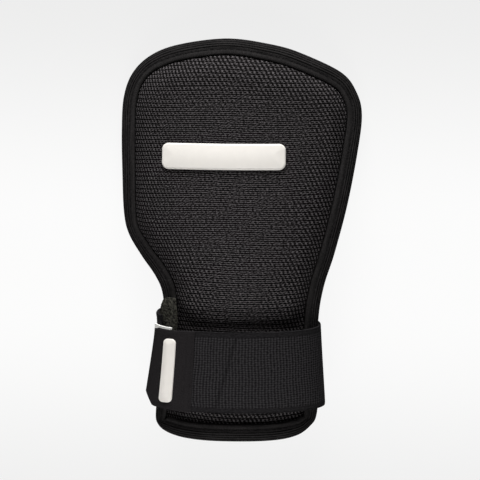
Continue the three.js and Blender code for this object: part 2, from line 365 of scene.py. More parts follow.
def pad_plan(across, down):
    """Plan grid of the pad: a Coons patch over the four sides of its edge."""
    starts = np.cumsum([0] + [len(side) for side in EDGE_SIDES])
    steps = (across, down, across, down)
    sides = [
        inset(edge_stations(np.linspace(starts[k], starts[k + 1], steps[k] + 1)), BINDING.cloth + GAP)
        for k in range(4)
    ]
    bottom, right, top, left = sides[0][:, None], sides[1][None], sides[2][::-1, None], sides[3][None, ::-1]
    s = np.linspace(0, 1, across + 1)[:, None, None]
    t = np.linspace(0, 1, down + 1)[None, :, None]
    low = bottom[:1] * (1 - s) + bottom[-1:] * s
    high = top[:1] * (1 - s) + top[-1:] * s
    return bottom * (1 - t) + top * t + left * (1 - s) + right * s - low * (1 - t) - high * t


def on_loop(angle, y, rise):
    """Points off the strap's loop: half an ellipse over the pad, a boxy half below it, flat on its back."""
    c = np.cos(np.radians(angle))
    s = np.sin(np.radians(angle))
    power = 2 / LOOP_HEIGHT.boxiness
    wide = np.where(c < 0, along(LOOP, "left", y), along(LOOP, "right", y)) + rise
    drop = (LOOP_HEIGHT.below + rise) * np.abs(s) ** power
    low = np.maximum(LOOP_HEIGHT.middle - drop, STRAP.thickness - rise)
    x = wide * np.where(s >= 0, c, np.sign(c) * np.abs(c) ** power)
    z = np.where(s >= 0, LOOP_HEIGHT.middle + (LOOP_HEIGHT.above + rise) * s, low)
    return np.stack(np.broadcast_arrays(x, y, z), -1)


def strap_rise(angle):
    """The strap's rise off its loop: over the wing at its start, and over its own start at its end."""
    return START_RISE * (1 - smoothstep(angle, *SINK)) + END_RISE * smoothstep(angle, *CLIMB)


def strap_y(angle, v):
    """Place along the cuff, at a share v of the strap's width from its lower edge."""
    shift = STRAP.start_shift * (1 - smoothstep(angle, *LEVEL))
    width = STRAP.width + (STRAP.end_width - STRAP.width) * smoothstep(angle, *NARROW)
    return STRAP.top + shift - width * (1 - v)


def clip_cut(v):
    """Angle that the clipped lower corner takes off the hook tape and the strap's free end."""
    return TAB.clip_angle * np.clip(1 - v * STRAP.width / TAB.clip_height, 0, 1)


def end_cut(v):
    """Angle taken off the strap's free end, which also slants back to its upper edge."""
    return clip_cut(v) + TAB.slant_angle * v


# Meshes

# A stitch's points, and how many thread radii its ends dip
STITCH = Sizes(steps=6, dip=2.2)


def grid_quads(columns, rows, join_columns=False, join_rows=False):
    """Quads of a grid whose points run column by column; a join closes the grid round that way."""
    i, j = np.meshgrid(
        np.arange(columns if join_columns else columns - 1), np.arange(rows if join_rows else rows - 1),
        indexing="ij",
    )
    corners = [(i, j), (i + 1, j), (i + 1, j + 1), (i, j + 1)]
    return np.stack([a % columns * rows + b % rows for a, b in corners], -1).reshape(-1, 4)


def outward(points, quads, caps=()):
    """Faces turned so that the volume that the quads close comes out above zero."""
    a, b, c, d = (points[quads[:, k]] for k in range(4))
    volume = np.einsum("ij,ij->", a, np.cross(b, c)) + np.einsum("ij,ij->", a, np.cross(c, d))
    way = 1 if volume > 0 else -1
    return quads[:, ::way].tolist() + [cap[::way].tolist() for cap in caps]


def slab(outer, inner):
    """Closed solid between two grids of points, walled in round their border."""
    columns, rows = outer.shape[:2]
    count = columns * rows
    ids = np.arange(count).reshape(columns, rows)
    border = np.concatenate([ids[:-1, 0], ids[-1, :-1], ids[:0:-1, -1], ids[0, :0:-1]])
    following = np.roll(border, -1)
    face = grid_quads(columns, rows)
    walls = np.stack([following, border, border + count, following + count], -1)
    points = np.concatenate([outer.reshape(-1, 3), inner.reshape(-1, 3)])
    return points, outward(points, np.concatenate([face, face[:, ::-1] + count, walls]))


def tubes(paths, normals, radius, sides=6):
    """Round threads along many short paths at once: a ring of sides at each point, capped at both ends."""
    count, steps = paths.shape[:2]
    way = unit(np.gradient(paths, axis=1))
    aside = unit(np.cross(way, normals))
    up = np.cross(aside, way)
    turn = np.linspace(0, 2 * np.pi, sides, endpoint=False)[:, None]
    swing = np.cos(turn) * aside[:, :, None] + np.sin(turn) * up[:, :, None]
    points = (paths[:, :, None] + radius * swing).reshape(-1, 3)
    side = grid_quads(steps, sides, join_rows=True)[:, ::-1]
    first = (np.arange(count) * steps * sides)[:, None]
    quads = (first[:, None] + side).reshape(-1, 4)
    near = first + np.arange(sides)[::-1]
    far = first + (steps - 1) * sides + np.arange(sides)
    return points, quads.tolist() + near.tolist() + far.tolist()


def stitch_row(path, normals, sizes, closed=False):
    """Stitches along a path: short threads whose ends dip into the cloth."""
    if closed:
        path = np.concatenate([path, path[:1]])
        normals = np.concatenate([normals, normals[:1]])
    run = lengths(path)
    length = sizes.stitch_length / MM
    count = int(run[-1] / (length + sizes.stitch_gap / MM))
    share = np.linspace(0, 1, STITCH.steps)
    at = (np.arange(count)[:, None] + 0.5) * run[-1] / count + (share - 0.5) * length
    place = np.stack([np.interp(at, run, path[:, k]) for k in range(3)], -1)
    up = unit(np.stack([np.interp(at, run, normals[:, k]) for k in range(3)], -1))
    dip = -STITCH.dip * sizes.thread_radius / MM * np.abs(2 * share - 1) ** 4
    return tubes(place + up * dip[:, None], up, sizes.thread_radius / MM)


def joined(*parts):
    """One set of points and faces from several."""
    points = np.concatenate([p for p, _ in parts])
    starts = np.cumsum([0] + [len(p) for p, _ in parts])
    faces = [[start + k for k in face] for (_, part), start in zip(parts, starts) for face in part]
    return points, faces


def piece(name, points, faces, material, slot, **attributes):
    """Object from points in mm and faces, smooth, riding on the guard; attributes hold a value or a vector
    for each point."""
    mesh = bpy.data.meshes.new(name)
    mesh.from_pydata((points * MM).tolist(), [], faces)
    for key, values in attributes.items():
        flat = np.asarray(values, np.float32).ravel()
        kind, field = ("FLOAT", "value") if len(flat) == len(points) else ("FLOAT_VECTOR", "vector")
        mesh.attributes.new(key, kind, "POINT").data.foreach_set(field, flat)
    mesh.shade_smooth()
    mesh.materials.append(material)
    obj = bpy.data.objects.new(name, mesh)
    bpy.context.collection.objects.link(obj)
    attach(obj, BODY)
    return obj


def soften(obj, width, segments=2, angle=40):
    """Round a cut edge with a live bevel; width in mm."""
    obj.data.set_sharp_from_angle(angle=np.radians(angle))
    bevel = obj.modifiers.new("cut_edge", "BEVEL")
    bevel.width = width * MM
    bevel.segments = segments
    bevel.limit_method = "ANGLE"
    bevel.angle_limit = np.radians(angle)
    bevel.harden_normals = True


# Materials


def set_sockets(tree, node, inputs):
    """Give a node's sockets values or links."""
    for key, value in inputs.items():
        if isinstance(value, bpy.types.NodeSocket):
            tree.links.new(value, node.inputs[key])
        else:
            node.inputs[key].default_value = value


def add_node(tree, kind, inputs=None, **settings):
    """Add a node, set its own settings, and give its sockets values or links."""
    node = tree.nodes.new(kind)
    for key, value in settings.items():
        setattr(node, key, value)
    set_sockets(tree, node, inputs or {})
    return node


def blank_material(name):
    """A material, its node tree, and the shader that stands alone in it before the output."""
    material = bpy.data.materials.new(name)
    material.use_nodes = True
    tree = material.node_tree
    tree.nodes.clear()
    shader = add_node(tree, "ShaderNodeBsdfPrincipled")
    add_node(tree, "ShaderNodeOutputMaterial", {"Surface": shader.outputs["BSDF"]})
    return material, tree, shader


def set_ramp(ramp, colour, low, high, start=0, end=1):
    """Let a colour ramp run from low times to high times the colour."""
    for stop, place, share in zip(ramp.color_ramp.elements, (start, end), (low, high)):
        stop.position = place
        stop.color = rgba(tuple(share * c for c in colour))


def add_wave(tree, height, turns, weight):
    """Height plus a wave: the weight times the cosine of that many turns."""
    angle = add_node(tree, "ShaderNodeMath", {0: turns, 1: 2 * np.pi}, operation="MULTIPLY")
    wave = add_node(tree, "ShaderNodeMath", {0: angle.outputs[0]}, operation="COSINE")
    inputs = {0: wave.outputs[0], 1: weight, 2: height}
    return add_node(tree, "ShaderNodeMath", inputs, operation="MULTIPLY_ADD").outputs[0]


def add_yarns(tree, place, scale, detail):
    """Uneven yarns: noise over places on a cloth, scaled along each axis."""
    scaled = add_node(tree, "ShaderNodeMapping", {"Vector": place, "Scale": scale}, vector_type="VECTOR")
    inputs = {"Vector": scaled.outputs["Vector"], "Scale": 1, "Detail": detail}
    return add_node(tree, "ShaderNodeTexNoise", inputs).outputs["Fac"]


def add_grain(tree, size, detail, roughness=0.5):
    """Uneven grain: noise over a piece's own space, at a size in mm."""
    inputs = {
        "Vector": add_node(tree, "ShaderNodeTexCoord").outputs["Object"],
        "Scale": 1 / (size * MM), "Detail": detail, "Roughness": roughness,
    }
    return add_node(tree, "ShaderNodeTexNoise", inputs).outputs["Fac"]


def dress_cloth(tree, shader, colour, relief, depth, strength, roughness, specular, **bump_settings):
    """Give a cloth's shader its colour, its dull surface, and the bump of a relief so many mm deep."""
    inputs = {"Height": relief, "Distance": depth * MM, "Strength": strength}
    bump = add_node(tree, "ShaderNodeBump", inputs, **bump_settings)
    set_sockets(tree, shader, {
        "Base Color": colour.outputs["Color"], "Normal": bump.outputs["Normal"],
        "Roughness": roughness, "Specular IOR Level": specular,
    })


def knit_mesh_material(colours):
    """Warp-knit polyester mesh: dull loops that catch a soft light, over holes painted black, for the dark
    foam under them and the shade deep in them.
    """
    material, tree, shader = blank_material("warp_knit_polyester_mesh")
    knit = add_node(tree, "ShaderNodeAttribute", attribute_name="knit").outputs["Vector"]
    pull = add_node(tree, "ShaderNodeAttribute", attribute_name="pull").outputs["Fac"]
    # Yarns are about 0.2 mm; drawn as dashes, two to a cell and four to a row, so that they show
    fibres = add_yarns(tree, knit, scale=(2, 4, 0), detail=1)
    uneven_height = add_node(tree, "ShaderNodeMath", {0: fibres, 1: 1.2, 2: -0.6}, operation="MULTIPLY_ADD")
    # The holes open where the cover is pulled
    inputs = {0: pull, 1: -0.1, 2: uneven_height.outputs[0]}
    height = add_node(tree, "ShaderNodeMath", inputs, operation="MULTIPLY_ADD").outputs[0]
    for cells, rows, phase, middle, side in zip(*KNIT_WAVES.values()):
        inputs = {0: knit, 1: (cells, rows, phase)}
        turns = add_node(tree, "ShaderNodeVectorMath", inputs, operation="DOT_PRODUCT")
        weight = add_node(tree, "ShaderNodeMix", {"Factor": pull, "A": middle, "B": side})
        height = add_wave(tree, height, turns.outputs["Value"], weight.outputs["Result"])
    loops = add_node(tree, "ShaderNodeMapRange", {"Value": height, "From Min": -0.3, "From Max": 0.4})
    uneven = add_node(
        tree, "ShaderNodeMapRange",
        {"Value": fibres, "From Min": 0.3, "From Max": 0.7, "To Min": 0.75, "To Max": 1.2},
    )
    lift = add_node(
        tree, "ShaderNodeMath", {0: loops.outputs["Result"], 1: uneven.outputs["Result"]},
        operation="MULTIPLY", use_clamp=True,
    )
    # A power of 2.6 gives about even steps of tone from hole to loop
    tone = add_node(tree, "ShaderNodeMath", {0: lift.outputs[0], 1: 2.6}, operation="POWER")
    colour = add_node(tree, "ShaderNodeValToRGB", {"Fac": tone.outputs[0]})
    # Partly painted shade: the holes are near black, for the dark foam under them and the shade deep in them
    colour.color_ramp.elements[0].color = rgba(colours.knit_hole)
    colour.color_ramp.elements[1].color = rgba(colours.knit_loop)
    dull = add_node(tree, "ShaderNodeMapRange", {"Value": lift.outputs[0], "To Min": 1, "To Max": 0.85})
    dress_cloth(
        tree, shader, colour, fibres,
        depth=0.15, strength=0.5, roughness=dull.outputs["Result"], specular=0.04,
    )
    return material


def binding_tape_material(colours):
    """Woven nylon binding tape: dull black, with soft streaks along it, a fine grain and faint ribs, whose
    crests are painted lighter and whose stitch groove is painted darker.
    """
    material, tree, shader = blank_material("ribbed_nylon_tape")
    rib = add_node(tree, "ShaderNodeAttribute", attribute_name="rib").outputs["Fac"]
    cloth = add_node(tree, "ShaderNodeAttribute", attribute_name="cloth").outputs["Vector"]
    # Places on the cloth are in mm. Warp yarns are bundled into streaks about 8 mm long and 0.7 mm wide
    warp = add_yarns(tree, cloth, scale=(1 / 8, 1 / 8, 1 / 0.7), detail=2)
    # Weft yarns are about 0.2 mm; drawn at 0.5 mm so that they show
    weft = add_yarns(tree, cloth, scale=(1 / 0.5, 1 / 0.5, 1 / 1.2), detail=1)
    yarns = add_node(tree, "ShaderNodeMath", {0: warp, 1: weft}, operation="MULTIPLY").outputs[0]
    # The rib attribute is painted shade: lighter on the ribs' crests, darker in the stitch groove
    rib_shade_and_grain = add_node(tree, "ShaderNodeMath", {0: rib, 1: 0.55, 2: yarns}, operation="MULTIPLY_ADD")
    colour = add_node(tree, "ShaderNodeValToRGB", {"Fac": rib_shade_and_grain.outputs[0]})
    set_ramp(colour, colours.binding, low=0.05, high=3.4, start=0.3, end=0.8)
    dress_cloth(tree, shader, colour, yarns, depth=0.2, strength=0.7, roughness=0.9, specular=0.07)
    return material


def tricot_material(colours):
    """Brushed tricot lining: a soft, even black with a short nap."""
    material, tree, shader = blank_material("brushed_tricot")
    # Nap is about 0.3 mm; drawn at 0.7 mm so that it shows
    nap = add_grain(tree, size=0.7, detail=3, roughness=0.65)
    colour = add_node(tree, "ShaderNodeValToRGB", {"Fac": nap})
    set_ramp(colour, colours.lining, low=0.5, high=1.6)
    dress_cloth(tree, shader, colour, nap, depth=0.2, strength=0.5, roughness=0.9, specular=0.1)
    return material


def brushed_loop_material(colours):
    """Brushed nylon loop cloth: a matted pile, brownish where its ends catch the light."""
    material, tree, shader = blank_material("brushed_nylon_loop")
    # Loops are about 0.3 mm; drawn as tufts of 1.1 mm so that they show
    pile = add_grain(tree, size=1.1, detail=3, roughness=0.6)
    colour = add_node(tree, "ShaderNodeValToRGB", {"Fac": pile})
    set_ramp(colour, colours.brushed, low=0.1, high=2.2, start=0.36, end=0.68)
    dress_cloth(tree, shader, colour, pile, depth=0.4, strength=0.8, roughness=0.95, specular=0.1)
    return material


def elastic_material(colours):
    """Woven elastic: covered rubber threads in a small square weave, dull, with plain selvedges, and with
    painted shade along their edges, in the grooves beside the weave and in the crease.
    """
    material, tree, shader = blank_material("woven_elastic")
    selvedge = add_node(tree, "ShaderNodeAttribute", attribute_name="selvedge").outputs["Fac"]
    weave = add_node(tree, "ShaderNodeAttribute", attribute_name="weave").outputs["Vector"]
    axes = add_node(tree, "ShaderNodeSeparateXYZ", {"Vector": weave})
    height = 0.5
    for axis, weight in WEAVE_WAVES.items():
        height = add_wave(tree, height, axes.outputs[axis], weight)
    # The selvedge attribute and the mix towards it carry painted shade at the edges, in the grooves and in
    # the crease
    woven = add_node(tree, "ShaderNodeMix", {"Factor": axes.outputs["Z"], "A": height, "B": selvedge})
    # Yarns are about 0.15 mm; drawn about 0.5 mm wide and 1.5 mm long so that they show
    yarns = add_yarns(tree, weave, scale=(1, 2, 0), detail=2)
    uneven = add_node(
        tree, "ShaderNodeMapRange",
        {"Value": yarns, "From Min": 0.3, "From Max": 0.7, "To Min": 0.4, "To Max": 1.6},
    )
    lift = add_node(
        tree, "ShaderNodeMath", {0: woven.outputs["Result"], 1: uneven.outputs["Result"]},
        operation="MULTIPLY", use_clamp=True,
    )
    colour = add_node(tree, "ShaderNodeValToRGB", {"Fac": lift.outputs[0]})
    set_ramp(colour, colours.elastic, low=0.1, high=2.8)
    dress_cloth(tree, shader, colour, yarns, depth=0.06, strength=0.5, roughness=0.9, specular=0.05)
    return material


def facing_material(colours):
    """Smooth synthetic facing: a tight, fine, dull grain, with painted shade that darkens it to black along
    its cut end.
    """
    material, tree, shader = blank_material("synthetic_facing")
    # Grain is about 0.2 mm; drawn at 0.5 mm so that it shows
    grain = add_grain(tree, size=0.5, detail=3, roughness=0.6)
    # Painted shade: the facing darkens to black towards its cut end, for the shadow at the tab's thickness
    cut = add_node(tree, "ShaderNodeAttribute", attribute_name="cut").outputs["Fac"]
    shade = add_node(tree, "ShaderNodeMath", {0: grain, 1: cut}, operation="MULTIPLY")
    colour = add_node(tree, "ShaderNodeValToRGB", {"Fac": shade.outputs[0]})
    set_ramp(colour, colours.facing, low=0.1, high=1.9)
    dress_cloth(tree, shader, colour, grain, depth=0.06, strength=0.4, roughness=0.8, specular=0.06)
    return material


def hook_tape_material(colours):
    """White nylon hook tape: short hooks about 0.9 mm apart that speckle an otherwise clean edge."""
    material, tree, shader = blank_material("nylon_hook_tape")
    place = add_node(tree, "ShaderNodeTexCoord")
    inputs = {"Vector": place.outputs["Object"], "Scale": 1 / (0.9 * MM)}
    hooks = add_node(tree, "ShaderNodeTexVoronoi", inputs).outputs["Distance"]
    colour = add_node(tree, "ShaderNodeValToRGB", {"Fac": hooks})
    set_ramp(colour, colours.hook, low=1, high=0.75)
    dress_cloth(
        tree, shader, colour, hooks, depth=0.15, strength=0.5, roughness=0.5, specular=0.4, invert=True
    )
    return material


def badge_material(colours):
    """Moulded silicone rubber: satin and pale, with a faint bloom in patches of 3 mm."""
    material, tree, shader = blank_material("moulded_silicone_rubber")
    bloom = add_grain(tree, size=3, detail=4, roughness=0.6)
    colour = add_node(tree, "ShaderNodeValToRGB", {"Fac": bloom})
    set_ramp(colour, colours.rubber, low=0.93, high=1)
    satin = add_node(tree, "ShaderNodeMapRange", {"Value": bloom, "To Min": 0.34, "To Max": 0.46})
    set_sockets(tree, shader, {
        "Base Color": colour.outputs["Color"], "Roughness": satin.outputs["Result"],
        "IOR": 1.43, "Specular IOR Level": 0.5,
    })
    return material


def thread_material(colours):
    """Bonded polyester thread: black and dull, uneven along its twist."""
    material, tree, shader = blank_material("bonded_polyester_thread")
    # A turn of the twist is about 0.5 mm
    twist = add_grain(tree, size=0.5, detail=2)
    colour = add_node(tree, "ShaderNodeValToRGB", {"Fac": twist})
    set_ramp(colour, colours.thread, low=0.6, high=1.4)
    inputs = {"Base Color": colour.outputs["Color"], "Roughness": 0.85, "Specular IOR Level": 0.1}
    set_sockets(tree, shader, inputs)
    return material


def floor_material(colours, glow):
    """Seamless paper lit from below: white and matt, a little darker past the fingers and the wrist."""
    material, tree, shader = blank_material("seamless_paper")
    place = add_node(tree, "ShaderNodeTexCoord")
    inputs = {"Vector": place.outputs["Object"], "Location": (0, -FLOOR.middle * MM, 0)}
    middle = add_node(tree, "ShaderNodeMapping", inputs)
    axes = add_node(tree, "ShaderNodeSeparateXYZ", {"Vector": middle.outputs["Vector"]})
    away = add_node(tree, "ShaderNodeMath", {0: axes.outputs["Y"]}, operation="ABSOLUTE")
    fall = add_node(
        tree, "ShaderNodeMapRange",
        {
            "Value": away.outputs[0], "From Min": FLOOR.near * MM, "From Max": FLOOR.far * MM,
            "To Min": 1, "To Max": FLOOR.dimmed,
        },
        interpolation_type="SMOOTHSTEP",
    )
    set_sockets(tree, shader, {
        "Base Color": rgba(colours.floor), "Roughness": 0.9, "Specular IOR Level": 0,
        "Emission Color": fall.outputs["Result"], "Emission Strength": glow,
    })
    return material


# Pieces

# The foam lies a clear distance under the knit's holes, and the mesh ends under the binding, a margin in from
# the pad's edge. Steps are points for each cell and row; the grid's columns spread over a share of the plan's
# width and turn no further round the arc than so many radians; arc is the arc's length over its plan
COVER = Sizes(clear=0.05, margin=4.8, cell_steps=4, row_steps=6, spread=1.25, turn=1.2, arc=1.1)

# The knit's height is a sum of waves: up the slant of its loops, along its rows, at half their spacing, and
# down the other slant. Columns are turns for each cell across and each row along, phase in turns, and weight
# in the middle and near the edge. The cover is pulled between two distances in from its edge, where its
# cells open, and at the thumb's side the cells come closer together
KNIT_WAVES = {
    "cells": (1, 0, 0, 1),
    "rows": (0.5, 1, 2, -1.5),
    "phase": (0.5, 0.5, 0.5, 0.5),
    "middle": (0.1, 0.12, 0.36, 0.1),
    "side": (0.4, 0.29, 0.27, 0.23),
}
PULL = Sizes(near=8, far=40)
CLOSER = Sizes(start=8, end=44, share=0.25)

# The binding's outer face, by distance in from the bound edge: domed, with a stitch groove and a lip
BINDING_FACE = {
    "y": (0, 0.4, 1.2, 2.6, 4, 5, 5.6, 6.2, 7.1, 7.9, 8.4, 8.6),
    "rise": (1.2, 2.1, 2.75, 3.3, 3.5, 3.42, 3.2, 3.18, 3.3, 3.2, 2.95, 2.6),
}
# The stitch groove, by distance in, with painted shade in it: the ribs fade to plain cloth just outside it
GROOVE = Sizes(inset=5.9, width=0.5, dark=0.6, fade_start=0.8, fade_end=0.2, plain_rib=0.75)
# The tape's width laid flat, and its points for each rib
TAPE = Sizes(width=21.6, steps_per_rib=4.5)

# The strap's plain selvedges, with painted shade along the bead at the edge and in a groove beside the weave,
# its rounded edges, and the faint crease that runs across it, painted darker, by its angle at the top and
# bottom
SELVEDGE = Sizes(width=2.4, blend=0.3, shade=0.34, relief=0.5)
BEAD = Sizes(inset=0.3, width=0.35, dark=0.16)
WEAVE_GROOVE = Sizes(inset=2.1, width=0.3, dark=0.1)
ROUNDED = Sizes(width=0.25, depth=0.15)
CREASE = Sizes(top=448, bottom=464, depth=0.25, width=0.8, dark=0.35)
STRAP_STEP = Sizes(along=0.365, across=0.27, back_points=5)
# Weights of the elastic's waves: X along it, Y across it
WEAVE_WAVES = {"X": 0.25, "Y": 0.18}

# The wing's pile: two sines, by angle and by y, each bent by a sine the other way
PILE = Sizes(relief=0.12, angle_rates=(1.9, 0.7), angle_bend=3, y_rates=(2.3, 0.9), y_bend=2)
BADGE = Sizes(wall=0.4, crown=0.4, sharp_angle=50)
SEAM_STRIP = Sizes(width=4, blend=0.5, raised=0.12, thin=0.35, thins_over=2.5)
# The tab's cut end has painted shade: black up to one distance in, and plain from the other
CUT_END = Sizes(black=0.2, plain=0.9)
# Stitch lines on the tab: distances in from the seam strip's edges and from the free end, then shares of the
# tab's width and length
TAB_LINES = Sizes(strip=1, end=1.7, low=0.03, high=0.97, side_end=0.93, sides=(0.05, 0.95))

# Slow drift of the rows and columns of a cloth: how far, how fast it swings by the place the other way and by
# its own place, and how much the second bends the first
KNIT_DRIFT = Sizes(amount=0.2, bend=1, cell_rates=(0.23, 0.17), row_rates=(0.19, 0.21))
WEAVE_DRIFT = Sizes(amount=0.1, bend=2, along_rates=(0.4, 0.13), across_rates=(0.31, 0.17))


def pad_foam(sizes, colours):
    """Foam body: the pad's faces, with room left over it for the knit."""
    plan = pad_plan(across=66, down=120)
    x, y = plan[..., 0], plan[..., 1]
    outer = off_shell(x, y, PAD.edge / 2 + foam(x, y) - sizes.knit_relief / MM - COVER.clear)
    inner = off_shell(x, y, np.full(x.shape, -PAD.edge / 2))
    obj = piece("pad_foam", *slab(outer, inner), tricot_material(colours), "knit_mesh")
    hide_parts("shield_pad")
    return obj


def pad_cover(sizes, colours):
    """Knit mesh: slanted loops and holes in rows, stretched over the foam.

    Columns run at even lengths round the arc across, rows at even lengths along the crown, and the height
    over the foam is a sum of cosine waves in cells and rows.
    """
    across = sizes.knit_across / MM
    down = sizes.knit_along / MM
    relief = sizes.knit_relief / MM
    skin = PAD.edge / 2 + PAD.foam
    fine = np.linspace(OUTLINE[:, 1].min(), OUTLINE[:, 1].max(), 2000)
    run = lengths(np.stack([fine, shell_height(0 * fine, fine)], -1))
    v = np.arange(0, run[-1], down / COVER.row_steps)
    y = np.interp(v, run, fine)
    radius = along(SPINE, "radius", y)
    half = int(OUTLINE[:, 0].max() * COVER.spread / across) * COVER.cell_steps
    u = np.arange(-half, half + 1)[:, None] * across / COVER.cell_steps
    x = radius * np.sin(np.clip(u / (radius + skin), -COVER.turn, COVER.turn))
    y = np.broadcast_to(y, x.shape)
    # Places on the knit, in cells and rows; the extra cells at the thumb's side sum up a smooth climb
    cell = drifted(u / across, v / down, KNIT_DRIFT.cell_rates, KNIT_DRIFT)
    row = drifted(v / down, u / across, KNIT_DRIFT.row_rates, KNIT_DRIFT)
    closing = np.clip((-u - CLOSER.start) / (CLOSER.end - CLOSER.start), 0, 1)
    closer = (CLOSER.end - CLOSER.start) * (closing**3 - closing**4 / 2) + np.maximum(-u - CLOSER.end, 0)
    cell = cell - CLOSER.share * closer / across
    edge = reach(x, y) * inside_edge(x, y)
    pull = 1 - smoothstep(edge, PULL.near, PULL.far)
    height = sum(
        (a + (b - a) * pull) * np.cos(2 * np.pi * (cells * cell + rows * row + turn))
        for cells, rows, turn, a, b in zip(*KNIT_WAVES.values())
    )
    loops = np.clip(0.5 + 0.5 * height, 0, 1)
    kept = edge > COVER.margin
    quads = grid_quads(*x.shape)
    quads = quads[kept.ravel()[quads].all(axis=1)]
    used, places = np.unique(quads, return_inverse=True)
    faces = places.reshape(-1, 4).tolist()
    points = off_shell(x, y, PAD.edge / 2 + foam(x, y) + relief * (loops - 1)).reshape(-1, 3)
    knit = np.stack(np.broadcast_arrays(cell, row, 1), -1).reshape(-1, 3)
    obj = piece(
        "pad_mesh_cover", points[used], faces, knit_mesh_material(colours), "knit_mesh",
        knit=knit[used], pull=pull.ravel()[used],
    )
    return obj


def binding_profile(sizes):
    """Closed section of the binding: distance in and rise, with ribs as a cosine along its outer side. Also
    the shade painted on the cloth, lighter on the ribs' crests and darker in the stitch groove, and the
    distance round the section."""
    d = np.linspace(BINDING.face, 0, 200)
    top = np.stack([d, along(BINDING_FACE, "rise", d)], -1)
    bottom = top[::-1] * (1, -1)
    outer = np.concatenate([top, bottom])
    run = lengths(outer)
    count = int(run[-1] / (sizes.rib_pitch / MM / TAPE.steps_per_rib))
    at = np.linspace(0, run[-1], count)
    outer = np.stack([np.interp(at, run, outer[:, k]) for k in range(2)], -1)
    way = unit(np.gradient(outer, axis=0))
    normal = np.stack([way[:, 1], -way[:, 0]], -1)
    rib = 0.5 + 0.5 * np.cos(2 * np.pi * at * MM / sizes.rib_pitch)
    plain = smoothstep(outer[:, 0], GROOVE.inset - GROOVE.fade_start, GROOVE.inset - GROOVE.fade_end)
    rib = rib * (1 - plain) + GROOVE.plain_rib * plain
    # Painted shade: the cloth is darker in the stitch groove, and lighter on the ribs' crests than in their
    # valleys
    groove = GROOVE.dark * bell(outer[:, 0] - GROOVE.inset, GROOVE.width)
    outer = outer + normal * ((rib - 1) * sizes.rib_relief / MM)[:, None]
    under = PAD.edge / 2 + GAP
    inner = np.array([
        (BINDING.face, -under), (BINDING.face * 0.5, -under), (BINDING.cloth, -under),
        (BINDING.cloth, under), (BINDING.face * 0.5, under), (BINDING.face, under),
    ])
    shade = np.concatenate([rib * (1 - groove), np.full(len(inner), 0.5)])
    place = np.concatenate([at, np.full(len(inner), run[-1])])
    return np.concatenate([outer, inner]), shade, place


def edge_binding(sizes, colours):
    """Binding tape: its section carried round the bound edge.

    A place on the cloth is on a drum whose way round is the edge's length, so that no pattern has a seam.
    """
    profile, shade, across = binding_profile(sizes)
    d, rise = profile.T
    plan = EDGE.point[:, None] + EDGE.inward[:, None] * (d * EDGE.squeeze[:, None])[..., None]
    section = off_shell(plan[..., 0], plan[..., 1], np.broadcast_to(rise, plan.shape[:2]))
    points = section.reshape(-1, 3)
    quads = outward(points, grid_quads(*section.shape[:2], join_columns=True, join_rows=True))
    turn = np.linspace(0, 2 * np.pi, len(section), endpoint=False)[:, None]
    drum = EDGE_RUN / (2 * np.pi)
    cloth = np.stack(np.broadcast_arrays(drum * np.cos(turn), drum * np.sin(turn), across), -1)
    # The rib attribute carries the painted shade of the ribs and the stitch groove
    obj = piece(
        "edge_binding_tape", points, quads, binding_tape_material(colours), "binding_tape",
        rib=np.broadcast_to(shade, plan.shape[:2]), cloth=cloth,
    )
    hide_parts("edge_binding")
    return obj


def binding_stitches(sizes, material):
    """Stitches round both faces of the binding, in its groove."""
    plan = inset(EDGE, GROOVE.inset)
    rows = []
    for side in (1, -1):
        rise = np.full(len(plan), side * along(BINDING_FACE, "rise", GROOVE.inset))
        path = off_shell(plan[:, 0], plan[:, 1], rise)
        normals = off_shell(plan[:, 0], plan[:, 1], rise + side) - path
        rows.append(stitch_row(path, normals, sizes, closed=True))
    return piece("binding_stitches", *joined(*rows), material, "binding_tape")


def cuff_wing(colours):
    """Wing: brushed cloth round the wrist's thumb side, its free top edge falling away.

    Its uneven pile is a product of two sines, each bent by a sine of the other way.
    """
    share = np.linspace(0, 1, 110)
    lean = WING.lean * np.clip((share - WING.lean_start) / (1 - WING.lean_start), 0, 1)
    angle = np.linspace(WING.start - lean, WING.end, 70)
    y = WING.bottom + (along(WING_TOP, "edge", angle) - WING.bottom) * share
    tuck = WING.tuck * (1 - smoothstep(angle, WING.start, WING.tuck_end))
    pile = np.sin(PILE.angle_rates[0] * angle + PILE.angle_bend * np.sin(PILE.angle_rates[1] * y))
    pile = pile * np.sin(PILE.y_rates[0] * y + PILE.y_bend * np.sin(PILE.y_rates[1] * angle))
    outer = on_loop(angle, y, WING.thickness + PILE.relief * (pile - 1) - tuck)
    inner = on_loop(angle, y, 0 * y - tuck)
    obj = piece("cuff_wing_cloth", *slab(outer, inner), brushed_loop_material(colours), "brushed_loop")
    soften(obj, 0.5, segments=3)
    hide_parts("cuff_wing")
    return obj


def strap_path():
    """Angles at even steps along the strap's middle line, and the distance along it at each."""
    fine = np.linspace(STRAP.start, STRAP.end, 4000)
    run = lengths(on_loop(fine, strap_y(fine, 0.5), strap_rise(fine)))
    at = np.linspace(0, run[-1], int(run[-1] / STRAP_STEP.along))
    return np.interp(at, run, fine), at


